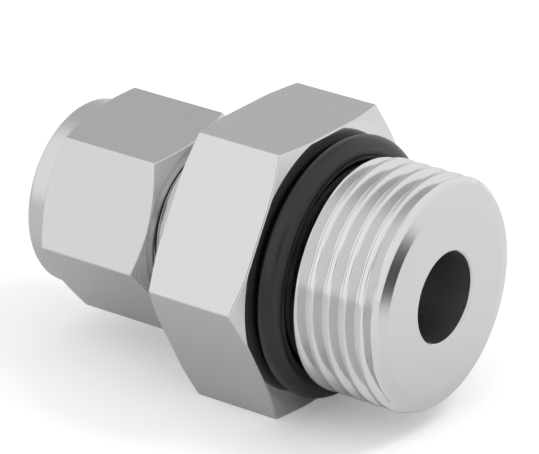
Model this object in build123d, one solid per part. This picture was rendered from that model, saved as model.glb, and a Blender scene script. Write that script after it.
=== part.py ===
from build123d import *
import math
import os

# Male tube connector for a 1/2 inch tube, with an O-ring sealed 1-1/16-12 stud.
# All sizes are in millimetres and all angles in degrees.
# X runs along the bore, out of the stud end. The origin is on the bore's axis, in the
# plane of the shoulder that the O-ring seals against. The connector lies on a flat of
# its body hexagon, so Z is up.
# The stud's thread is drawn as a cylinder at its major diameter, and the thread between
# body and nut as two cylinders at its pitch diameter.

# Body hexagon
hex_across_flats = 31.75
hex_width = 12.2
hex_face_dia = 32.5
hex_chamfer_deg = 18.0
hex_edge_radius = 0.25

# Stud end
stud_length = 15.2
stud_thread_dia = 26.9
stud_neck_dia = 24.2
stud_neck_width = 3.1
stud_run_in_deg = 45.0
stud_chamfer_height = 0.65
stud_chamfer_deg = 45.0
stud_bevel_width = 1.65
stud_bevel_deg = 12.0
stud_rim_radius = 0.2
flow_bore_dia = 10.4
flow_bore_chamfer = 0.2

# O-ring in the neck
ring_section_dia = 2.92
ring_clearance = 0.02

# Tube end
tube_dia = 12.7
socket_clearance = 0.05
tube_stop_depth = 12.6
seat_length = 3.85
seat_deg = 20.0
tube_end_length = 12.3
tube_end_wall = 3.175
tube_end_chamfer = 0.5
tube_threads_per_inch = 20
tube_neck_wall = 2.15
tube_neck_width = 1.6

# Ferrules
ferrule_clearance = 0.07
seat_clearance = 0.05
nose_wall = 0.25
front_ferrule_lip = 0.3
front_ferrule_rim = 1.6
front_ferrule_recess = 1.0
recess_deg = 45.0
back_ferrule_waist = 1.15
back_ferrule_lip = 0.5
back_ferrule_rim = 1.5
back_ferrule_bevel = 0.5

# Nut
nut_wall = 1.5875
nut_length = 17.4
nut_socket_depth = 12.95
nut_chamfer_deg = 30.0
nut_face_inset = 0.2
nut_collar_inset = 0.3
nut_collar_length = 2.7
nut_collar_edge_radius = 0.9
nut_edge_radius = 0.2
nut_thread_length = 9.0
nut_thread_mouth_chamfer = 0.7
nut_pocket_clearance = 0.15
nut_pocket_deg = 45.0
nut_hole_clearance = 0.15
nut_hole_chamfer = 0.6
nut_turn = 9.0
thread_clearance = 0.05

# Sizes worked out from the ones above
mm_per_inch = 25.4
pitch_depth_ratio = 3 * math.sqrt(3) / 8
stud_radius = stud_thread_dia / 2
neck_radius = stud_neck_dia / 2
tube_neck_radius = tube_dia / 2 + tube_neck_wall
tube_thread_radius = tube_dia / 2 + tube_end_wall
tube_pitch = mm_per_inch / tube_threads_per_inch
tube_pitch_radius = tube_thread_radius - pitch_depth_ratio * tube_pitch / 2
nut_across_flats = 2 * (tube_thread_radius + nut_wall)
socket_radius = tube_dia / 2 + socket_clearance
seat_slope = math.tan(math.radians(seat_deg))
mouth_radius = socket_radius + seat_length * seat_slope
tube_end_x = -hex_width - tube_end_length
tube_stop_x = tube_end_x + tube_stop_depth
ferrule_bore_radius = tube_dia / 2 + ferrule_clearance
recess_slope = math.tan(math.radians(recess_deg))


def turned(corners, rounded=None, rounding=None):
    """A solid turned about X from its corners (x, radius), with one of them rounded if it is named."""
    section = make_face(Polyline(*corners, close=True))
    if rounded:
        vertex = section.vertices().sort_by_distance(Vector(*rounded))[0]
        section = fillet(vertex, rounding)
    return revolve(section, Axis.X)


def chamfered_hexagon(across_flats, left_x, right_x, face_dia, chamfer_deg, edge_radius):
    """A hexagonal prism along X, with flats above and below, its corners turned off at both ends."""
    width = right_x - left_x
    prism = Plane.YZ.offset(left_x) * extrude(
        RegularPolygon(across_flats / 2, 6, major_radius=False), width)
    ridges = prism.edges().filter_by(Axis.X)
    prism = fillet(ridges, edge_radius)
    corner_radius = across_flats / math.sqrt(3)
    run = (corner_radius - face_dia / 2) * math.tan(math.radians(chamfer_deg))
    envelope = turned([
        (left_x, 0),
        (left_x, face_dia / 2),
        (left_x + run, corner_radius),
        (right_x - run, corner_radius),
        (right_x, face_dia / 2),
        (right_x, 0),
    ])
    return prism & envelope


def stud_end():
    """The stud: relief neck for the O-ring, run-in cone, thread, chamfer, and the end's bevelled rim."""
    run_in = (stud_radius - neck_radius) / math.tan(math.radians(stud_run_in_deg))
    chamfer_run = stud_chamfer_height / math.tan(math.radians(stud_chamfer_deg))
    bevel_depth = stud_bevel_width * math.tan(math.radians(stud_bevel_deg))
    rim = (stud_length - bevel_depth, stud_radius - stud_chamfer_height)
    corners = [
        (-hex_width / 2, 0),
        (-hex_width / 2, neck_radius),
        (stud_neck_width, neck_radius),
        (stud_neck_width + run_in, stud_radius),
        (rim[0] - chamfer_run, stud_radius),
        rim,
        (stud_length, rim[1] - stud_bevel_width),
        (stud_length, 0),
    ]
    return turned(corners, rim, stud_rim_radius)


def tube_end():
    """The threaded end for the nut, with a relief neck beside the hexagon."""
    radius = tube_pitch_radius - thread_clearance
    neck_x = -hex_width - tube_neck_width
    return turned([
        (-hex_width / 2, 0),
        (-hex_width / 2, tube_neck_radius),
        (neck_x, tube_neck_radius),
        (neck_x - (radius - tube_neck_radius), radius),
        (tube_end_x + tube_end_chamfer, radius),
        (tube_end_x, radius - tube_end_chamfer),
        (tube_end_x, 0),
    ])


def bore():
    """The way through: conical ferrule seat, tube socket with its stop, and the flow bore."""
    flow_radius = flow_bore_dia / 2
    return turned([
        (tube_end_x, 0),
        (tube_end_x, mouth_radius),
        (tube_end_x + seat_length, socket_radius),
        (tube_stop_x, socket_radius),
        (tube_stop_x, flow_radius),
        (stud_length - flow_bore_chamfer, flow_radius),
        (stud_length, flow_radius + flow_bore_chamfer),
        (stud_length, 0),
    ])


def make_body():
    """The body, turned from one hexagonal bar."""
    hexagon = chamfered_hexagon(
        hex_across_flats, -hex_width, 0, hex_face_dia, hex_chamfer_deg, hex_edge_radius)
    return hexagon + stud_end() + tube_end() - bore()


def make_o_ring():
    """The O-ring, lying in the neck against the shoulder."""
    ring_radius = ring_section_dia / 2
    centre = (ring_radius + ring_clearance, neck_radius + ring_radius + ring_clearance)
    return revolve(make_face(CenterArc(centre, ring_radius, 0, 360)), Axis.X)


def front_ferrule_rear_x():
    """The plane of the front ferrule's rear face."""
    lip_run = (front_ferrule_lip + seat_clearance) / seat_slope
    return tube_end_x - lip_run - front_ferrule_rim


def make_front_ferrule():
    """The front ferrule: a cone in the body's seat, with a recess behind for the back ferrule."""
    rim_radius = mouth_radius + front_ferrule_lip
    nose_radius = ferrule_bore_radius + nose_wall
    nose_x = tube_end_x + (mouth_radius - seat_clearance - nose_radius) / seat_slope
    rear_x = front_ferrule_rear_x()
    return turned([
        (nose_x, ferrule_bore_radius),
        (nose_x, nose_radius),
        (rear_x + front_ferrule_rim, rim_radius),
        (rear_x, rim_radius),
        (rear_x, ferrule_bore_radius + front_ferrule_recess * recess_slope),
        (rear_x + front_ferrule_recess, ferrule_bore_radius),
    ])


def back_ferrule_rear_x():
    """The plane of the back ferrule's rear face."""
    return front_ferrule_rear_x() - seat_clearance - back_ferrule_waist - back_ferrule_lip - back_ferrule_rim


def make_back_ferrule():
    """The back ferrule: its nose in the front ferrule's recess, a waist, and a driven rim behind."""
    nose_radius = ferrule_bore_radius + nose_wall
    waist_x = front_ferrule_rear_x() - seat_clearance
    waist_radius = ferrule_bore_radius + front_ferrule_recess * recess_slope
    nose_x = waist_x + (waist_radius - nose_radius) / recess_slope
    rim_radius = waist_radius + back_ferrule_lip
    rear_x = back_ferrule_rear_x()
    return turned([
        (nose_x, ferrule_bore_radius),
        (nose_x, nose_radius),
        (waist_x, waist_radius),
        (waist_x - back_ferrule_waist, waist_radius),
        (waist_x - back_ferrule_waist - back_ferrule_lip, rim_radius),
        (rear_x + back_ferrule_bevel, rim_radius),
        (rear_x, rim_radius - back_ferrule_bevel),
        (rear_x, ferrule_bore_radius),
    ])


def nut_cavity(front_x, shoulder_x, rear_x):
    """What is cut out of the nut: thread at its pitch diameter, ferrule pocket and tube hole."""
    thread_radius = tube_pitch_radius + thread_clearance
    pocket_radius = mouth_radius + front_ferrule_lip + nut_pocket_clearance
    hole_radius = tube_dia / 2 + nut_hole_clearance
    pocket_x = front_x - nut_thread_length
    step = (thread_radius - pocket_radius) / math.tan(math.radians(nut_pocket_deg))
    rim_radius = ferrule_bore_radius + front_ferrule_recess * recess_slope + back_ferrule_lip
    seat_radius = rim_radius - back_ferrule_bevel
    seat_run = (pocket_radius - seat_radius) / math.tan(math.radians(nut_pocket_deg))
    return turned([
        (front_x, 0),
        (front_x, thread_radius + nut_thread_mouth_chamfer),
        (front_x - nut_thread_mouth_chamfer, thread_radius),
        (pocket_x, thread_radius),
        (pocket_x - step, pocket_radius),
        (shoulder_x + seat_run, pocket_radius),
        (shoulder_x, seat_radius),
        (shoulder_x, hole_radius),
        (rear_x + nut_hole_chamfer, hole_radius),
        (rear_x, hole_radius + nut_hole_chamfer),
        (rear_x, 0),
    ])


def make_nut():
    """The nut, turned from hexagonal bar, with a round collar behind its flats."""
    shoulder_x = back_ferrule_rear_x() - seat_clearance
    front_x = shoulder_x + nut_socket_depth
    rear_x = front_x - nut_length
    face_dia = nut_across_flats - 2 * nut_face_inset
    hexagon = chamfered_hexagon(nut_across_flats, rear_x + nut_collar_length, front_x,
                                face_dia, nut_chamfer_deg, nut_edge_radius)
    collar_radius = nut_across_flats / 2 - nut_collar_inset
    collar_edge = (rear_x, collar_radius)
    collar = turned([
        (front_x - nut_length / 2, 0),
        (front_x - nut_length / 2, collar_radius),
        collar_edge,
        (rear_x, 0),
    ], collar_edge, nut_collar_edge_radius)
    nut = hexagon + collar - nut_cavity(front_x, shoulder_x, rear_x)
    return nut.rotate(Axis.X, nut_turn)


pieces = {
    "body": make_body(),
    "o_ring": make_o_ring(),
    "front_ferrule": make_front_ferrule(),
    "back_ferrule": make_back_ferrule(),
    "nut": make_nut(),
}

os.makedirs("parts", exist_ok=True)
for name, piece in pieces.items():
    export_step(piece, "parts/" + name + ".step")
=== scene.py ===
import math

import bpy
import numpy as np
from mathutils import Matrix, Vector


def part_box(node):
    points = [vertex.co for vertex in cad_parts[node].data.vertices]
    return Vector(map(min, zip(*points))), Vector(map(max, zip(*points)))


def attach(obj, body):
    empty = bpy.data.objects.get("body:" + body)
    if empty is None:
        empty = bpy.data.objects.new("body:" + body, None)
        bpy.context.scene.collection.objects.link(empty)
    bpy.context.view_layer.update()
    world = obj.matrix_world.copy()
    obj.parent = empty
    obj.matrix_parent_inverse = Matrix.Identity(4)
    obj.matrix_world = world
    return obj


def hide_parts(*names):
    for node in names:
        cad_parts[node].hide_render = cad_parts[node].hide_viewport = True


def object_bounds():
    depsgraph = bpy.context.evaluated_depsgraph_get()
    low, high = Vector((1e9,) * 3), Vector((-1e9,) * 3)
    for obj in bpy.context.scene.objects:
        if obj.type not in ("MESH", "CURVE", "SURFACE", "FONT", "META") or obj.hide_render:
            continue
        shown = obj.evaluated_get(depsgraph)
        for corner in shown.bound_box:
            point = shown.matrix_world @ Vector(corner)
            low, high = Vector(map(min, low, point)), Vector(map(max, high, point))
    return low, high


# Male tube connector, turned and milled from stainless steel bar, with a black O-ring.
# Sizes are in millimetres, and become metres where a mesh, light or camera is made.
# X runs along the bore and out of the stud. Angles about X start at +Y and turn towards +Z.
# Every turned or hexagonal piece is one closed skin: its section's corners are rounded,
# the section is carried round X, and each point keeps the exact normal of its surface.

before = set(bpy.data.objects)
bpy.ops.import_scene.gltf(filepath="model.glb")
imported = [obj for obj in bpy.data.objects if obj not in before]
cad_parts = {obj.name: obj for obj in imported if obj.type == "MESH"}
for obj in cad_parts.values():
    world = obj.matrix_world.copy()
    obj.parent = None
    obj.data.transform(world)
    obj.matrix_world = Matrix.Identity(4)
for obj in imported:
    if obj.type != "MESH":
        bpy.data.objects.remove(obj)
cad_low, cad_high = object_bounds()

MM = 0.001
INCH = 25.4


def span(node):
    """The lowest and highest X of a CAD node, in millimetres."""
    low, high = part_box(node)
    return low.x / MM, high.x / MM


def tangent(degrees):
    """The rise of a slope for a run of one."""
    return math.tan(math.radians(degrees))


# Body
BODY_REAR, STUD_END = span("body")
HEX_FLATS = 31.75
HEX_WIDTH = 12.2
HEX_FACE_RADIUS = 16.25
HEX_CHAMFER_DEG = 18.0
RIDGE_ROUNDING = 0.25
NECK_RADIUS = 12.1
NECK_END = 3.1
NECK_FILLET = 0.3

# Stud. Its thread's skin runs from a narrow lip behind the rim to a place inside the neck
STUD_RADIUS = 13.45
STUD_THREADS_PER_INCH = 12
STUD_PITCH = INCH / STUD_THREADS_PER_INCH
STUD_ROOT_FLAT = 0.25
STUD_ROOT_RADIUS = 12.27
STUD_CREST_AT = 7.04
STUD_GROOVE_FADES = (14.0, 15.0)
STUD_THREAD_REAR = 2.4
STUD_LIP = 0.2
STUD_CHAMFER_HEIGHT = 0.65
STUD_CHAMFER_DEG = 45.0
STUD_BEVEL_WIDTH = 1.65
STUD_BEVEL_DEG = 12.0
STUD_RIM_ROUNDING = 0.15
STUD_BEVEL_ROUNDING = 0.3
STUD_RIM_RADIUS = STUD_RADIUS - STUD_CHAMFER_HEIGHT
STUD_RIM_X = STUD_END - STUD_BEVEL_WIDTH * tangent(STUD_BEVEL_DEG)

# Bore, with the tube's socket and the ferrules' seat
FLOW_RADIUS = 5.2
FLOW_CHAMFER = 0.2
TUBE_STOP = -11.9
SOCKET_RADIUS = 6.4
SEAT_LENGTH = 3.85
SEAT_DEG = 20.0
SEAT_MOUTH_RADIUS = SOCKET_RADIUS + SEAT_LENGTH * tangent(SEAT_DEG)
BORE_ROUNDING = 0.1

# Tube end. Its thread's skin runs from a place inside the neck to just before the tip
TUBE_NECK_RADIUS = 8.5
TUBE_NECK_WIDTH = 1.6
TUBE_NECK_PLAIN = 0.8
TUBE_THREAD_RADIUS = 9.475
TUBE_THREADS_PER_INCH = 20
TUBE_PITCH = INCH / TUBE_THREADS_PER_INCH
TUBE_CREST_AT = 0.0
TUBE_ROOT_FLAT = 0.15
TUBE_ROOT_RADIUS = 8.74
TUBE_END_CHAMFER = 0.9
TUBE_TIP = 0.3

# O-ring
RING_REAR, RING_FRONT = span("o_ring")
RING_INNER_RADIUS = 12.12

# Ferrules
FRONT_FERRULE_REAR, FRONT_FERRULE_NOSE = span("front_ferrule")
BACK_FERRULE_REAR, BACK_FERRULE_NOSE = span("back_ferrule")
FERRULE_BORE = 6.42
FERRULE_NOSE_WALL = 0.25
FERRULE_ROUNDING = 0.12
FRONT_FERRULE_LIP = 0.3
FRONT_FERRULE_RADIUS = SEAT_MOUTH_RADIUS + FRONT_FERRULE_LIP
FRONT_FERRULE_RIM = 1.6
RECESS = 1.0
BACK_FERRULE_WAIST = 1.15
BACK_FERRULE_LIP = 0.5
BACK_FERRULE_BEVEL = 0.5

# Nut
NUT_REAR, NUT_FRONT = span("nut")
NUT_FLATS = 22.225
NUT_TURN = 9.0
NUT_FACE_INSET = 0.2
NUT_FACE_RADIUS = NUT_FLATS / 2 - NUT_FACE_INSET
NUT_CHAMFER_DEG = 30.0
NUT_COLLAR_INSET = 0.3
NUT_COLLAR_RADIUS = NUT_FLATS / 2 - NUT_COLLAR_INSET
NUT_COLLAR_LENGTH = 2.7
NUT_COLLAR_ROUNDING = 0.9
NUT_COLLAR_ROOT_ROUNDING = 0.02
NUT_THREAD_LENGTH = 9.0
NUT_POCKET_GAP = 0.15
NUT_POCKET_RADIUS = FRONT_FERRULE_RADIUS + NUT_POCKET_GAP
NUT_POCKET_STEP = 0.6
NUT_SHOULDER_GAP = 0.05
NUT_SHOULDER_RADIUS = FERRULE_BORE + RECESS + BACK_FERRULE_LIP - BACK_FERRULE_BEVEL
NUT_HOLE_RADIUS = 6.5
NUT_HOLE_CHAMFER = 0.6
NUT_CREST_RADIUS = 8.87
NUT_MOUTH_ROUNDING = 0.05
THREAD_GAP = 0.08

# Threads: their walls stand at this angle to a plane across the bore, and their edges are broken
THREAD_WALL_DEG = 30.0
EDGE_BREAK = 0.08

# The hexagons' flats. The first faces down and to the front, -Y
HEXAGON_SIDES = 6
FLAT_DEG = 360.0 / HEXAGON_SIDES
FIRST_FLAT_DEG = -150.0

# How finely the skins are drawn
COLUMNS_PER_FLAT = 40
RIDGE_STEPS = 4
CORNER_STEPS = 4
ROWS_PER_PITCH = 20
RING_STEPS = 48
MERGE_DECIMALS = 5

# Where a hexagon's chamfer misses a flat, this share of the turn from end face to flat is done on the
# first strip of the edge, and the rest on the second
FIRST_STRIP_SHARE = 0.3

# The least length or angle that anything is divided by
NO_LENGTH = 1e-9


class Columns:
    """The columns of a skin. at is each one's angle about X, facing is where a hexagon's side faces
    there, and middle is the middle of the flat that it belongs to. A ridge has columns of its own, all
    at one angle, over which facing turns from one flat to the next. The last column lies on the first."""

    def __init__(self, turn_deg=0.0):
        at, facing, middles = [], [], []
        for flat in range(HEXAGON_SIDES):
            middle = turn_deg + FIRST_FLAT_DEG + FLAT_DEG * flat
            along = middle + np.linspace(-FLAT_DEG / 2, FLAT_DEG / 2, COLUMNS_PER_FLAT + 1)
            ridge = np.linspace(0.0, FLAT_DEG, RIDGE_STEPS + 1)[1:-1]
            at += [along, np.full(ridge.shape, middle + FLAT_DEG / 2)]
            facing += [np.full(along.shape, middle), middle + ridge]
            middles += [np.full(len(along) + len(ridge), middle)]
        at += [at[0][:1] + 360.0]
        facing += [facing[0][:1] + 360.0]
        middles += [middles[0][:1] + 360.0]
        self.at, self.facing, self.middle = (np.radians(np.concatenate(a)) for a in (at, facing, middles))


def row(columns, x, radius, nx, nr, facing=None):
    """One row of points and normals. A point is x along X, and the radius times the cosine and sine of
    its column's angle; a normal is nx along X, and nr the same way round."""
    count = len(columns.at)
    x, radius, nx, nr = (np.broadcast_to(np.asarray(v, float), count) for v in (x, radius, nx, nr))
    facing = columns.at if facing is None else facing
    points = np.stack([x, radius * np.cos(columns.at), radius * np.sin(columns.at)], axis=1)
    normals = np.stack([nx, nr * np.cos(facing), nr * np.sin(facing)], axis=1)
    return points, normals


def turned(columns, corners, finish):
    """Rows for a turned stretch. The section goes through corners (x, radius, rounding), each rounded
    by an arc tangent to both of its sides; the normal stays on the left of the way along it. The first
    and last corners only give the way in and out, and have no rows."""
    corners = [np.array(c, float) for c in corners]
    rows = []
    for before, corner, after in zip(corners, corners[1:], corners[2:]):
        into = (corner - before)[:2]
        out = (after - corner)[:2]
        into /= np.linalg.norm(into)
        out /= np.linalg.norm(out)
        start = math.atan2(-into[0], into[1])
        turn = math.atan2(into[0] * out[1] - into[1] * out[0], into @ out)
        reach = corner[2] * math.tan(abs(turn) / 2)
        first = corner[:2] - reach * into
        side = math.copysign(1.0, turn)
        centre = first - side * corner[2] * np.array([math.cos(start), math.sin(start)])
        for share in np.linspace(0, 1, CORNER_STEPS + 1):
            normal = np.array([math.cos(start + share * turn), math.sin(start + share * turn)])
            place = centre + side * corner[2] * normal
            rows.append((*row(columns, place[0], place[1], normal[0], normal[1]), finish))
    return rows


def blend_directions(start, end, share):
    """Unit vectors a share of the way along the shortest turn from start to end: the sines of the
    angle that is left and of the angle that is done weigh the two."""
    cosine = np.clip((start * end).sum(axis=1), -1, 1)
    angle = np.maximum(np.arccos(cosine), NO_LENGTH)[:, None]
    mixed = np.sin((1 - share) * angle) * start + np.sin(share * angle) * end
    return mixed / np.linalg.norm(mixed, axis=1)[:, None]


def hexagon(columns, flats, right, left, face_radius, chamfer_deg, finish, chamfer_finish):
    """Rows for a hexagonal prism from its right face to its left one, with its corners turned off.
    A smaller prism is taken, one rounding inside the real one, and each row stands one rounding out
    from it along its normal, which swings from the end face to the cone, and from there to the flat."""
    rounding = RIDGE_ROUNDING
    slope = math.radians(chamfer_deg)
    flat_radius = (flats / 2 - rounding) / np.cos(columns.at - columns.middle)
    cone_radius = face_radius - rounding * (1 - math.cos(slope)) / math.sin(slope)
    on_cone = flat_radius > cone_radius
    flat_normal = row(columns, 0, 0, 0, 1, columns.facing)[1]
    rows = []
    for face, side in ((right, 1), (left, -1)):
        depth = np.where(on_cone, (flat_radius - cone_radius) * math.tan(slope), 0)
        inner = row(columns, face - side * rounding, np.minimum(flat_radius, cone_radius), 0, 0)[0]
        outer = row(columns, face - side * (rounding + depth), flat_radius, 0, 0)[0]
        end_normal = row(columns, 0, 0, side, 0)[1]
        cone_normal = row(columns, 0, 0, side * math.cos(slope), math.sin(slope))[1]
        passing = blend_directions(end_normal, flat_normal, FIRST_STRIP_SHARE)
        cone_normal = np.where(on_cone[:, None], cone_normal, passing)
        strips = []
        for place, start, end in ((inner, end_normal, cone_normal), (outer, cone_normal, flat_normal)):
            for share in np.linspace(0, 1, CORNER_STEPS + 1):
                normal = blend_directions(start, end, share)
                strips.append((place + rounding * normal, normal))
        finishes = [chamfer_finish] * (2 * CORNER_STEPS + 1) + [finish]
        if side < 0:
            strips.reverse()
            finishes = [chamfer_finish] * (2 * CORNER_STEPS + 2)
        rows += [(*strip, done) for strip, done in zip(strips, finishes)]
    return rows


def soft_min(a, b, width):
    """The lower of two heights, with the corner between them rounded: where they are closer than width,
    the square of what they lack of it is taken off, over four widths."""
    return np.minimum(a, b) - np.maximum(width - np.abs(a - b), 0) ** 2 / (4 * width)


def soft_max(a, b, width):
    """The higher of two heights, with the corner between them rounded in the same way."""
    return -soft_min(-a, -b, width)


def groove(x, angle, pitch, crest_at, root_radius, root_flat):
    """The radius of a helical groove's walls and root. The walls rise from half a root flat beside the
    groove's middle line, and the root is level. The crest moves on by one pitch in each turn, and
    crest_at is where it is at the front, at -Y."""
    turns = (angle + math.pi / 2) / (2 * math.pi)
    from_crest = x - crest_at - pitch * turns
    from_crest = np.abs((from_crest + pitch / 2) % pitch - pitch / 2)
    wall = root_radius + (pitch / 2 - root_flat / 2 - from_crest) / tangent(THREAD_WALL_DEG)
    return soft_max(wall, root_radius, EDGE_BREAK)


def stud_height(x, angle):
    """The stud's radius: the lowest of run-in cone, crests and end chamfer, with the groove cut into
    them, and never below the neck. Near the end the groove runs out."""
    run_in = NECK_RADIUS + (x - NECK_END)
    chamfer = STUD_RIM_RADIUS + (STUD_RIM_X - x) * tangent(STUD_CHAMFER_DEG)
    blank = soft_min(soft_min(run_in, STUD_RADIUS, EDGE_BREAK), chamfer, EDGE_BREAK)
    cut = groove(x, angle, STUD_PITCH, STUD_CREST_AT, STUD_ROOT_RADIUS, STUD_ROOT_FLAT)
    fade_from, fade_to = STUD_GROOVE_FADES
    fade = np.clip((x - fade_from) / (fade_to - fade_from), 0, 1) ** 2
    return soft_max(soft_min(blank, cut + fade * STUD_PITCH, EDGE_BREAK), NECK_RADIUS, EDGE_BREAK)


def tube_thread_height(x, angle):
    """The tube end's radius: the lowest of run-in cone, crests and end chamfer, with the groove cut
    into them, and never below the neck."""
    neck_end = -HEX_WIDTH - TUBE_NECK_WIDTH
    run_in = TUBE_NECK_RADIUS + (neck_end - x)
    chamfer = TUBE_THREAD_RADIUS - TUBE_END_CHAMFER + (x - BODY_REAR)
    blank = soft_min(soft_min(run_in, TUBE_THREAD_RADIUS, EDGE_BREAK), chamfer, EDGE_BREAK)
    cut = groove(x, angle, TUBE_PITCH, TUBE_CREST_AT, TUBE_ROOT_RADIUS, TUBE_ROOT_FLAT)
    return soft_max(soft_min(blank, cut, EDGE_BREAK), TUBE_NECK_RADIUS, EDGE_BREAK)


def nut_thread_height(x, angle):
    """The radius of the nut's thread: the tube end's and a gap, with its own crests cut flat and its
    mouth opened by a cone."""
    cut = groove(x, angle, TUBE_PITCH, TUBE_CREST_AT, TUBE_ROOT_RADIUS, TUBE_ROOT_FLAT)
    capped = soft_min(cut, TUBE_THREAD_RADIUS, EDGE_BREAK)
    thread = soft_max(capped + THREAD_GAP, NUT_CREST_RADIUS, EDGE_BREAK)
    mouth = TUBE_THREAD_RADIUS + THREAD_GAP + (x - NUT_FRONT)
    return soft_max(thread, mouth, EDGE_BREAK)


def threaded(columns, height, pitch, start, end, finish):
    """Rows for a stretch whose radius is height(x, angle). Rows follow the helix, one pitch a turn, and
    stop at the stretch's ends; the normal comes from the slope of the height along X and round X."""
    turns = (columns.at - columns.at[0]) / (2 * math.pi)
    low, high = min(start, end), max(start, end)
    step = pitch / ROWS_PER_PITCH
    base = low - pitch + step * np.arange(math.ceil((high - low + pitch) / step) + 1)
    if end < start:
        base = base[::-1]
    outward = 1.0 if end < start else -1.0
    tiny = 1e-5
    rows = []
    for offset in base:
        x = np.clip(offset + pitch * turns, low, high)
        radius = height(x, columns.at)
        along = (height(x + tiny, columns.at) - height(x - tiny, columns.at)) / (2 * tiny)
        around = (height(x, columns.at + tiny) - height(x, columns.at - tiny)) / (2 * tiny) / radius
        points = row(columns, x, radius, 0, 0)[0]
        radial = row(columns, 0, 1, 0, 0)[0]
        tangential = np.stack([np.zeros(len(x)), -radial[:, 2], radial[:, 1]], axis=1)
        axial = np.array([1.0, 0.0, 0.0])
        normals = outward * (radial - along[:, None] * axial - around[:, None] * tangential)
        rows.append((points, normals / np.linalg.norm(normals, axis=1)[:, None], finish))
    return rows


def skin(name, rows, materials, node, body):
    """A closed mesh from rows that run once round the section, each once round X. Each cell between two
    rows and two columns is two triangles. Points that coincide are merged, triangles that collapse are
    dropped, and each point keeps its own normal."""
    points = np.stack([r[0] for r in rows])
    normals = np.stack([r[1] for r in rows])
    finishes = np.array([materials.index(r[2]) for r in rows])
    count, width = points.shape[:2]
    flat = points.reshape(-1, 3)
    rounded = np.round(flat, MERGE_DECIMALS)
    _, first, merged = np.unique(rounded, axis=0, return_index=True, return_inverse=True)
    merged = merged.reshape(count, width)
    turned_on = np.roll(merged, -1, axis=0)
    here, right = merged[:, :-1], merged[:, 1:]
    below, below_right = turned_on[:, :-1], turned_on[:, 1:]
    one = np.stack([here, below, below_right], axis=-1).reshape(-1, 3)
    two = np.stack([here, below_right, right], axis=-1).reshape(-1, 3)
    slots = np.repeat(finishes, width - 1)
    triangles = np.concatenate([one, two])
    slots = np.concatenate([slots, slots])
    whole = ((triangles[:, 0] != triangles[:, 1]) & (triangles[:, 1] != triangles[:, 2])
             & (triangles[:, 2] != triangles[:, 0]))
    triangles, slots = triangles[whole], slots[whole]
    mesh = bpy.data.meshes.new(name)
    mesh.vertices.add(len(first))
    mesh.vertices.foreach_set("co", (flat[first] * MM).astype(np.float32).ravel())
    mesh.loops.add(triangles.size)
    mesh.loops.foreach_set("vertex_index", triangles.astype(np.int32).ravel())
    mesh.polygons.add(len(triangles))
    mesh.polygons.foreach_set("loop_start", np.arange(0, triangles.size, 3, dtype=np.int32))
    mesh.polygons.foreach_set("material_index", slots.astype(np.int32))
    mesh.polygons.foreach_set("use_smooth", np.ones(len(triangles), bool))
    mesh.update(calc_edges=True)
    total = np.zeros((len(first), 3))
    np.add.at(total, merged.ravel(), normals.reshape(-1, 3))
    total /= np.maximum(np.linalg.norm(total, axis=1), NO_LENGTH)[:, None]
    mesh.normals_split_custom_set_from_vertices(total.tolist())
    for material in materials:
        mesh.materials.append(material)
    piece = bpy.data.objects.new(name, mesh)
    bpy.context.scene.collection.objects.link(piece)
    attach(piece, body)
    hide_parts(node)
    return piece


def linear(hex_colour):
    """An sRGB hex colour as linear red, green, blue and alpha, by the standard's own curve: a straight
    line at the dark end, and a power above it."""
    parts = [int(hex_colour[i:i + 2], 16) / 255 for i in (1, 3, 5)]
    return [c / 12.92 if c <= 0.04045 else ((c + 0.055) / 1.055) ** 2.4 for c in parts] + [1.0]


def add(tree, kind, inputs=None, **settings):
    """A node with its settings. inputs maps an input's name or number to its value, or to the socket
    that feeds it."""
    node = tree.nodes.new(kind)
    for key, value in settings.items():
        setattr(node, key, value)
    for key, value in (inputs or {}).items():
        if isinstance(value, bpy.types.NodeSocket):
            tree.links.new(value, node.inputs[key])
        else:
            node.inputs[key].default_value = value
    return node


def blank_material(name):
    """A material with an empty tree."""
    material = bpy.data.materials.new(name)
    material.use_nodes = True
    material.node_tree.nodes.clear()
    return material, material.node_tree


# How fast drawn lines change along each axis: slowly along X, so that they run long there
DRAWN_STRETCH = (0.04, 1.0, 1.0)
LINE_DETAIL = 3.0
CLOUD_SIZE = 6.0
CLOUD_DETAIL = 2.0


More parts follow.
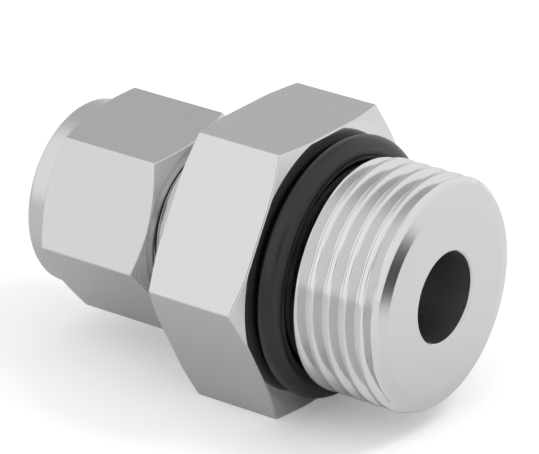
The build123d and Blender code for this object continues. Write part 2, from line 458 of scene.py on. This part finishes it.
def steel(name, colour, roughness, marks, spacing, depth, spread, mottle):
    """Stainless steel with its tool's marks. marks is "drawn" for fine lines along X, as on bar and
    milled flats, or "turned" for fine rings round X. spacing and depth are the marks' own, in
    millimetres; spread is how far they change the roughness, and mottle how far slow clouds change
    the tone."""
    material, tree = blank_material(name)
    place = add(tree, "ShaderNodeTexCoord").outputs["Object"]
    if marks == "drawn":
        stretched = add(tree, "ShaderNodeVectorMath", {0: place, 1: DRAWN_STRETCH}, operation="MULTIPLY")
        vector = stretched.outputs[0]
    else:
        parts = add(tree, "ShaderNodeSeparateXYZ", {0: place}).outputs
        across = add(tree, "ShaderNodeCombineXYZ", {"Y": parts["Y"], "Z": parts["Z"]}).outputs[0]
        radius = add(tree, "ShaderNodeVectorMath", {0: across}, operation="LENGTH").outputs["Value"]
        vector = add(tree, "ShaderNodeCombineXYZ", {"X": parts["X"], "Y": radius}).outputs[0]
    lines = add(tree, "ShaderNodeTexNoise", {
        "Vector": vector, "Scale": 1 / (spacing * MM), "Detail": LINE_DETAIL}).outputs[0]
    clouds = add(tree, "ShaderNodeTexNoise", {
        "Vector": place, "Scale": 1 / (CLOUD_SIZE * MM), "Detail": CLOUD_DETAIL}).outputs[0]
    tone = add(tree, "ShaderNodeMapRange", {
        "Value": clouds, "To Min": 1.0 - mottle, "To Max": 1.0 + mottle}).outputs[0]
    shade = add(tree, "ShaderNodeVectorMath", {0: linear(colour)[:3], 1: tone}, operation="MULTIPLY")
    bump = add(tree, "ShaderNodeBump", {"Height": lines, "Distance": depth * MM})
    rough = add(tree, "ShaderNodeMapRange", {
        "Value": lines, "To Min": roughness - spread, "To Max": roughness + spread}).outputs[0]
    shader = add(tree, "ShaderNodeBsdfPrincipled", {
        "Base Color": shade.outputs[0], "Metallic": 1.0, "Normal": bump.outputs[0], "Roughness": rough})
    add(tree, "ShaderNodeOutputMaterial", {"Surface": shader.outputs[0]})
    return material


def rubber(name, colour, roughness, grain_size, grain_depth, spread):
    """Black rubber with the grain of its mould; grain_size and grain_depth are in millimetres."""
    material, tree = blank_material(name)
    place = add(tree, "ShaderNodeTexCoord").outputs["Object"]
    grain = add(tree, "ShaderNodeTexNoise", {
        "Vector": place, "Scale": 1 / (grain_size * MM), "Detail": CLOUD_DETAIL}).outputs[0]
    bump = add(tree, "ShaderNodeBump", {"Height": grain, "Distance": grain_depth * MM})
    rough = add(tree, "ShaderNodeMapRange", {
        "Value": grain, "To Min": roughness - spread, "To Max": roughness + spread}).outputs[0]
    shader = add(tree, "ShaderNodeBsdfPrincipled", {
        "Base Color": linear(colour), "Normal": bump.outputs[0], "Roughness": rough})
    add(tree, "ShaderNodeOutputMaterial", {"Surface": shader.outputs[0]})
    return material


# The marks of the real tools lie a few hundredths of a millimetre apart, too fine to show at this
# distance. They are drawn about a tenth of a millimetre apart, as coarse as they need to be to show.

# Milled along the bore: even satin flats, each one calm grey tone with barely a line on it
MILLED = steel("milled_stainless_steel_flats", "#d9d9d9", roughness=0.30, marks="drawn",
               spacing=0.12, depth=0.0004, spread=0.03, mottle=0.015)

# Turned, at the hexagon's corners and its rear face: satin, with a soft shine that runs round
CHAMFERED = steel("turned_stainless_steel_chamfers", "#d9d9d9", roughness=0.26, marks="turned",
                  spacing=0.10, depth=0.0006, spread=0.04, mottle=0.01)

# Turned fine, to seal against: smooth enough to mirror the black ring beside it, so it looks dark
SHOULDER = steel("fine_turned_stainless_steel_shoulder", "#d9d9d9", roughness=0.10, marks="turned",
                 spacing=0.10, depth=0.0002, spread=0.02, mottle=0.01)

# Cut by the threading tool: brighter than the flats, with a clear highlight on each crest and wall
THREAD = steel("cut_stainless_steel_thread", "#e0e0e0", roughness=0.16, marks="turned",
               spacing=0.08, depth=0.0012, spread=0.04, mottle=0.02)

# Faced off in the lathe: one plain even disc, with rings too faint to count
FACED = steel("faced_stainless_steel_end", "#d3d3d3", roughness=0.20, marks="turned",
              spacing=0.08, depth=0.0003, spread=0.02, mottle=0.01)

# Burnished round the rim: nearly a mirror, so it shows one crisp dark streak
BURNISHED = steel("burnished_stainless_steel_rim", "#dcdcdc", roughness=0.04, marks="turned",
                  spacing=0.08, depth=0.0001, spread=0.01, mottle=0.01)

# Drilled and left rough: duller, with a darker grey base colour that is painted shade, so that it sinks away
# inside the bore
BORED_WITH_PAINTED_SHADE = steel("drilled_stainless_steel_bore_painted_shade", "#c4c4c4", roughness=0.35, marks="turned",
              spacing=0.15, depth=0.001, spread=0.04, mottle=0.02)

# The nut's flats, milled as the body's are: the same calm satin, a shade darker
NUT_FLAT = steel("milled_stainless_steel_nut_flats", "#d5d5d5", roughness=0.30, marks="drawn",
                 spacing=0.12, depth=0.0004, spread=0.03, mottle=0.015)

# The nut's collar, corners and hole, turned: satin with one soft highlight round the collar
NUT_TURNED = steel("turned_stainless_steel_nut_collar", "#d5d5d5", roughness=0.27, marks="turned",
                   spacing=0.10, depth=0.0005, spread=0.03, mottle=0.01)

# Turned and polished: narrow bright highlights, seen through the nut's hole
FERRULE = steel("polished_stainless_steel_ferrules", "#dcdcdc", roughness=0.14, marks="turned",
                spacing=0.06, depth=0.0003, spread=0.03, mottle=0.01)

# Moulded nitrile rubber: nearly black, with one broad soft sheen. Its grain is drawn coarser than it is
RUBBER = rubber("moulded_nitrile_rubber_ring", "#191919", roughness=0.33,
                grain_size=0.35, grain_depth=0.004, spread=0.05)


def make_body():
    """The body: stud face, stud, shoulder, hexagon, tube end, ferrule seat, socket and flow bore."""
    columns = Columns()
    thread_from = STUD_RIM_X - STUD_LIP
    lip_radius = STUD_RIM_RADIUS + (STUD_RIM_X - thread_from) * tangent(STUD_CHAMFER_DEG)
    rows = turned(columns, [
        (TUBE_STOP, FLOW_RADIUS, 0),
        (STUD_END - FLOW_CHAMFER, FLOW_RADIUS, BORE_ROUNDING),
        (STUD_END, FLOW_RADIUS + FLOW_CHAMFER, EDGE_BREAK),
        (STUD_END, STUD_RIM_RADIUS - STUD_BEVEL_WIDTH, STUD_BEVEL_ROUNDING),
        (STUD_RIM_X, STUD_RIM_RADIUS, 0),
    ], FACED)
    rows += turned(columns, [
        (STUD_END, STUD_RIM_RADIUS - STUD_BEVEL_WIDTH, 0),
        (STUD_RIM_X, STUD_RIM_RADIUS, STUD_RIM_ROUNDING),
        (thread_from, lip_radius, 0),
    ], BURNISHED)
    rows += threaded(columns, stud_height, STUD_PITCH, thread_from, STUD_THREAD_REAR, THREAD)
    rows += turned(columns, [
        (STUD_THREAD_REAR, NECK_RADIUS, 0),
        (0, NECK_RADIUS, NECK_FILLET),
        (0, HEX_FACE_RADIUS, 0),
    ], SHOULDER)
    rows += hexagon(columns, HEX_FLATS, 0, -HEX_WIDTH, HEX_FACE_RADIUS, HEX_CHAMFER_DEG, MILLED, CHAMFERED)
    tube_from = -HEX_WIDTH - TUBE_NECK_PLAIN
    rows += turned(columns, [
        (-HEX_WIDTH, HEX_FACE_RADIUS, 0),
        (-HEX_WIDTH, TUBE_NECK_RADIUS, NECK_FILLET),
        (tube_from, TUBE_NECK_RADIUS, 0),
    ], CHAMFERED)
    rows += threaded(columns, tube_thread_height, TUBE_PITCH, tube_from, BODY_REAR + TUBE_TIP, THREAD)
    tip_radius = TUBE_THREAD_RADIUS - TUBE_END_CHAMFER
    rows += turned(columns, [
        (BODY_REAR + TUBE_TIP, tip_radius + TUBE_TIP, 0),
        (BODY_REAR, tip_radius, BORE_ROUNDING),
        (BODY_REAR, SEAT_MOUTH_RADIUS, BORE_ROUNDING),
        (BODY_REAR + SEAT_LENGTH, SOCKET_RADIUS, BORE_ROUNDING),
        (TUBE_STOP, SOCKET_RADIUS, BORE_ROUNDING),
        (TUBE_STOP, FLOW_RADIUS, BORE_ROUNDING),
        (STUD_END - FLOW_CHAMFER, FLOW_RADIUS, 0),
    ], BORED_WITH_PAINTED_SHADE)
    materials = [FACED, BURNISHED, THREAD, SHOULDER, MILLED, CHAMFERED, BORED_WITH_PAINTED_SHADE]
    return skin("connector_body", rows, materials, "body", "fitting_body")


def make_o_ring():
    """The O-ring: a circle carried round X, its rows at even steps of the angle round the circle."""
    columns = Columns()
    section = (RING_FRONT - RING_REAR) / 2
    centre_x = (RING_FRONT + RING_REAR) / 2
    centre_radius = RING_INNER_RADIUS + section
    rows = []
    for angle in np.linspace(0, 2 * math.pi, RING_STEPS, endpoint=False):
        nx, nr = math.cos(angle), math.sin(angle)
        place = row(columns, centre_x + section * nx, centre_radius + section * nr, nx, nr)
        rows.append((*place, RUBBER))
    return skin("seal_ring", rows, [RUBBER], "o_ring", "fitting_body")


def ferrule_rows(corners):
    """Rows for a ferrule, whose section closes on itself."""
    return turned(Columns(), [corners[-1]] + corners + [corners[0]], FERRULE)


def make_front_ferrule():
    """The front ferrule: a cone towards the body, a short rim, and a recess behind."""
    rows = ferrule_rows([
        (FRONT_FERRULE_NOSE, FERRULE_BORE, FERRULE_ROUNDING / 2),
        (FRONT_FERRULE_NOSE, FERRULE_BORE + FERRULE_NOSE_WALL, FERRULE_ROUNDING / 2),
        (FRONT_FERRULE_REAR + FRONT_FERRULE_RIM, FRONT_FERRULE_RADIUS, FERRULE_ROUNDING),
        (FRONT_FERRULE_REAR, FRONT_FERRULE_RADIUS, FERRULE_ROUNDING),
        (FRONT_FERRULE_REAR, FERRULE_BORE + RECESS, FERRULE_ROUNDING),
        (FRONT_FERRULE_REAR + RECESS, FERRULE_BORE, FERRULE_ROUNDING),
    ])
    return skin("front_ferrule_ring", rows, [FERRULE], "front_ferrule", "ferrule_set")


def make_back_ferrule():
    """The back ferrule: a nose in the front one's recess, a waist, and a bevelled rim behind."""
    nose = FERRULE_BORE + FERRULE_NOSE_WALL
    waist = FERRULE_BORE + RECESS
    waist_x = BACK_FERRULE_NOSE - (waist - nose)
    rim = waist + BACK_FERRULE_LIP
    rows = ferrule_rows([
        (BACK_FERRULE_NOSE, FERRULE_BORE, FERRULE_ROUNDING / 2),
        (BACK_FERRULE_NOSE, nose, FERRULE_ROUNDING / 2),
        (waist_x, waist, FERRULE_ROUNDING),
        (waist_x - BACK_FERRULE_WAIST, waist, FERRULE_ROUNDING),
        (waist_x - BACK_FERRULE_WAIST - BACK_FERRULE_LIP, rim, FERRULE_ROUNDING),
        (BACK_FERRULE_REAR + BACK_FERRULE_BEVEL, rim, FERRULE_ROUNDING),
        (BACK_FERRULE_REAR, rim - BACK_FERRULE_BEVEL, FERRULE_ROUNDING),
        (BACK_FERRULE_REAR, FERRULE_BORE, FERRULE_ROUNDING),
    ])
    return skin("back_ferrule_ring", rows, [FERRULE], "back_ferrule", "ferrule_set")


def make_nut():
    """The nut: hexagon, collar, tube hole, ferrule pocket, thread and front face."""
    columns = Columns(NUT_TURN)
    hex_left = NUT_REAR + NUT_COLLAR_LENGTH
    pocket_x = NUT_FRONT - NUT_THREAD_LENGTH
    shoulder_x = BACK_FERRULE_REAR - NUT_SHOULDER_GAP
    mouth_x = NUT_FRONT - NUT_MOUTH_ROUNDING
    mouth = TUBE_THREAD_RADIUS + THREAD_GAP
    rows = hexagon(columns, NUT_FLATS, NUT_FRONT, hex_left, NUT_FACE_RADIUS, NUT_CHAMFER_DEG,
                   NUT_FLAT, NUT_TURNED)
    rows += turned(columns, [
        (hex_left, NUT_FACE_RADIUS, 0),
        (hex_left, NUT_COLLAR_RADIUS, NUT_COLLAR_ROOT_ROUNDING),
        (NUT_REAR, NUT_COLLAR_RADIUS, NUT_COLLAR_ROUNDING),
        (NUT_REAR, NUT_HOLE_RADIUS + NUT_HOLE_CHAMFER, BORE_ROUNDING),
        (NUT_REAR + NUT_HOLE_CHAMFER, NUT_HOLE_RADIUS, BORE_ROUNDING),
        (shoulder_x, NUT_HOLE_RADIUS, BORE_ROUNDING),
        (shoulder_x, NUT_SHOULDER_RADIUS, BORE_ROUNDING),
        (shoulder_x + NUT_POCKET_RADIUS - NUT_SHOULDER_RADIUS, NUT_POCKET_RADIUS, BORE_ROUNDING),
        (pocket_x - NUT_POCKET_STEP, NUT_POCKET_RADIUS, BORE_ROUNDING),
        (pocket_x, NUT_CREST_RADIUS, 0),
    ], NUT_TURNED)
    rows += threaded(columns, nut_thread_height, TUBE_PITCH, pocket_x, mouth_x, THREAD)
    rows += turned(columns, [
        (mouth_x, mouth - NUT_MOUTH_ROUNDING, 0),
        (NUT_FRONT, mouth, NUT_MOUTH_ROUNDING),
        (NUT_FRONT, NUT_FACE_RADIUS, 0),
    ], NUT_TURNED)
    return skin("tube_nut", rows, [NUT_FLAT, NUT_TURNED, THREAD], "nut", "tube_nut")


# Camera, at the photograph's viewing angle. The origin stands VIEW_ASIDE to the right of the
# picture's middle, and VIEW_ABOVE above it
VIEW_AZIMUTH = 35.635
VIEW_ELEVATION = 23.764
VIEW_ROLL = 0.633
VIEW_DISTANCE = 488.95
VIEW_ASIDE = 6.858
VIEW_ABOVE = -4.027
VIEW_LENS = 295.03
SENSOR = 36.0
CLIP_NEAR = 10.0
CLIP_FAR = 20000.0


def make_camera():
    """The camera. It looks back along its azimuth and elevation: back is the way to it, right is level
    and up is square to both; the roll turns the last two about the first."""
    azimuth, elevation, roll = (math.radians(a) for a in (VIEW_AZIMUTH, VIEW_ELEVATION, VIEW_ROLL))
    back = np.array([math.sin(azimuth) * math.cos(elevation),
                     -math.cos(azimuth) * math.cos(elevation), math.sin(elevation)])
    right = np.cross(-back, [0, 0, 1])
    right /= np.linalg.norm(right)
    up = np.cross(right, -back)
    tilted_right = right * math.cos(roll) + up * math.sin(roll)
    tilted_up = -right * math.sin(roll) + up * math.cos(roll)
    place = back * VIEW_DISTANCE - tilted_right * VIEW_ASIDE - tilted_up * VIEW_ABOVE
    matrix = Matrix.Identity(4)
    for column, axis in enumerate((tilted_right, tilted_up, back, place * MM)):
        for line in range(3):
            matrix[line][column] = axis[line]
    data = bpy.data.cameras.new("camera")
    data.lens = VIEW_LENS
    data.sensor_width = SENSOR
    data.clip_start = CLIP_NEAR * MM
    data.clip_end = CLIP_FAR * MM
    camera = bpy.data.objects.new("camera", data)
    camera.matrix_world = matrix
    bpy.context.scene.collection.objects.link(camera)
    bpy.context.scene.camera = camera


def sheet(name, corners):
    """A flat sheet of the studio, from its four corners in metres."""
    mesh = bpy.data.meshes.new(name)
    mesh.from_pydata(corners, [], [(0, 1, 2, 3)])
    piece = bpy.data.objects.new(name, mesh)
    bpy.context.scene.collection.objects.link(piece)
    return piece


FLOOR_HALF = 3000.0
FLOOR_COLOUR = "#f6f6f6"
# The light that the floor adds for the camera, so that it looks white and its shadow soft
FLOOR_LIFT = 0.22
# Painted shade: in reflections the floor's colour falls off to grey towards the front left, between two
# places on this axis, in place of the studio light falling off there
FLOOR_PAINTED_SHADE_AXIS = (0.707, 0.707, 0.0)
FLOOR_PAINTED_SHADE_FROM = 40.0
FLOOR_PAINTED_SHADE_TO = -20.0
FLOOR_PAINTED_SHADE_GREY = 0.80


def make_floor():
    """The floor: matt white paper, which gives the eye a white ground with the connector's soft shadow. In
    reflections its colour carries painted shade towards the front left, which darkens the undersides that
    mirror it."""
    height = cad_low.z
    half = FLOOR_HALF * MM
    floor = sheet("floor", [(-half, -half, height), (half, -half, height),
                            (half, half, height), (-half, half, height)])
    material, tree = blank_material("white_paper_sweep")
    path = add(tree, "ShaderNodeLightPath").outputs
    place = add(tree, "ShaderNodeTexCoord").outputs["Object"]
    along = add(tree, "ShaderNodeVectorMath", {0: place, 1: FLOOR_PAINTED_SHADE_AXIS}, operation="DOT_PRODUCT")
    # Painted shade: the floor's colour for reflections, greyed towards the front left
    fall = add(tree, "ShaderNodeMapRange", {
        "Value": along.outputs["Value"], "From Min": FLOOR_PAINTED_SHADE_TO * MM, "From Max": FLOOR_PAINTED_SHADE_FROM * MM,
        "To Min": FLOOR_PAINTED_SHADE_GREY, "To Max": 1.0}, interpolation_type="SMOOTHSTEP")
    level = add(tree, "ShaderNodeMix", {"Factor": path["Is Glossy Ray"], "A": 1.0, "B": fall.outputs[0]})
    colour = add(tree, "ShaderNodeVectorMath", {0: linear(FLOOR_COLOUR)[:3], 1: level.outputs["Result"]},
                 operation="MULTIPLY")
    lift = add(tree, "ShaderNodeMath", {0: path["Is Camera Ray"], 1: FLOOR_LIFT}, operation="MULTIPLY")
    paper = add(tree, "ShaderNodeBsdfDiffuse", {"Color": colour.outputs[0]})
    glow = add(tree, "ShaderNodeEmission", {"Strength": lift.outputs[0]})
    both = add(tree, "ShaderNodeAddShader", {0: paper.outputs[0], 1: glow.outputs[0]})
    add(tree, "ShaderNodeOutputMaterial", {"Surface": both.outputs[0]})
    floor.data.materials.append(material)


# The card's place on the floor, its width and height, and the way it faces, from +X towards +Y
FLAG_PLACE = (62.0, 18.0)
FLAG_SIZE = (22.0, 16.0)
FLAG_FACING_DEG = 30.0
FLAG_COLOUR = "#0c0c0c"


def make_flag():
    """A small black card that stands on the floor at the right, out of frame and seen only in
    reflections. It is matt black, so that a polished rim shows it as a dark streak."""
    width, height = FLAG_SIZE
    x, y = FLAG_PLACE
    facing = math.radians(FLAG_FACING_DEG)
    aside = np.array([-math.sin(facing), math.cos(facing), 0.0]) * width / 2 * MM
    foot = np.array([x * MM, y * MM, cad_low.z])
    top = np.array([0.0, 0.0, height * MM])
    flag = sheet("flag", [foot - aside, foot + aside, foot + aside + top, foot - aside + top])
    material, tree = blank_material("matt_black_card")
    card = add(tree, "ShaderNodeBsdfDiffuse", {"Color": linear(FLAG_COLOUR)})
    add(tree, "ShaderNodeOutputMaterial", {"Surface": card.outputs[0]})
    flag.data.materials.append(material)
    flag.visible_camera = False
    flag.visible_diffuse = False
    flag.visible_shadow = False


LAMP_AXIS = (0.50, 0.30, 0.81)
LAMP_DISTANCE = 400.0
LAMP_SIZE = 140.0
LAMP_WATTS = 0.32


def make_lamp():
    """A soft lamp overhead at the back right. It throws the connector's shadow to the front left, and
    is left out of reflections, so that polished metal shows only the room."""
    data = bpy.data.lights.new("softbox", "AREA")
    data.shape = "DISK"
    data.size = LAMP_SIZE * MM
    data.energy = LAMP_WATTS
    lamp = bpy.data.objects.new("softbox", data)
    axis = Vector(LAMP_AXIS).normalized()
    facing = axis.to_track_quat("Z", "Y").to_matrix().to_4x4()
    lamp.matrix_world = Matrix.Translation(axis * LAMP_DISTANCE * MM) @ facing
    lamp.visible_glossy = False
    lamp.visible_camera = False
    bpy.context.scene.collection.objects.link(lamp)


ROOM_LEVEL = 0.95
# What hangs round the object: the way it lies, the cosines where its soft edge begins and ends, its level
SCREENS = [
    ("bright wall on the left", (-0.60, -0.78, 0.15), 0.20, 0.75, 1.02),
    ("grey wall behind", (-0.50, 0.60, 0.62), 0.70, 0.97, 0.56),
    ("dark opening for the camera", (0.538, -0.741, 0.402), 0.955, 0.985, 0.08),
]


def make_world():
    """Soft studio light all round: a pale room with a bright wall, a grey one and a dark opening where
    the camera stands. Each is blended in by how near a direction is to its own. The camera itself sees
    plain white."""
    world = bpy.data.worlds.new("studio")
    bpy.context.scene.world = world
    world.use_nodes = True
    tree = world.node_tree
    tree.nodes.clear()
    direction = add(tree, "ShaderNodeTexCoord").outputs["Generated"]
    level = ROOM_LEVEL
    for label, axis, start, full, value in SCREENS:
        along = add(tree, "ShaderNodeVectorMath", {0: direction, 1: axis}, operation="DOT_PRODUCT")
        share = add(tree, "ShaderNodeMapRange", {
            "Value": along.outputs["Value"], "From Min": start, "From Max": full},
            interpolation_type="SMOOTHSTEP")
        mixed = add(tree, "ShaderNodeMix", {"Factor": share.outputs[0], "A": level, "B": value}, label=label)
        level = mixed.outputs["Result"]
    path = add(tree, "ShaderNodeLightPath").outputs
    seen = add(tree, "ShaderNodeMix", {"Factor": path["Is Camera Ray"], "A": level, "B": 1.0})
    background = add(tree, "ShaderNodeBackground", {"Color": seen.outputs["Result"]})
    add(tree, "ShaderNodeOutputWorld", {"Surface": background.outputs[0]})


make_body()
make_o_ring()
make_front_ferrule()
make_back_ferrule()
make_nut()
make_camera()
make_floor()
make_flag()
make_lamp()
make_world()
bpy.context.scene.view_settings.view_transform = "Standard"
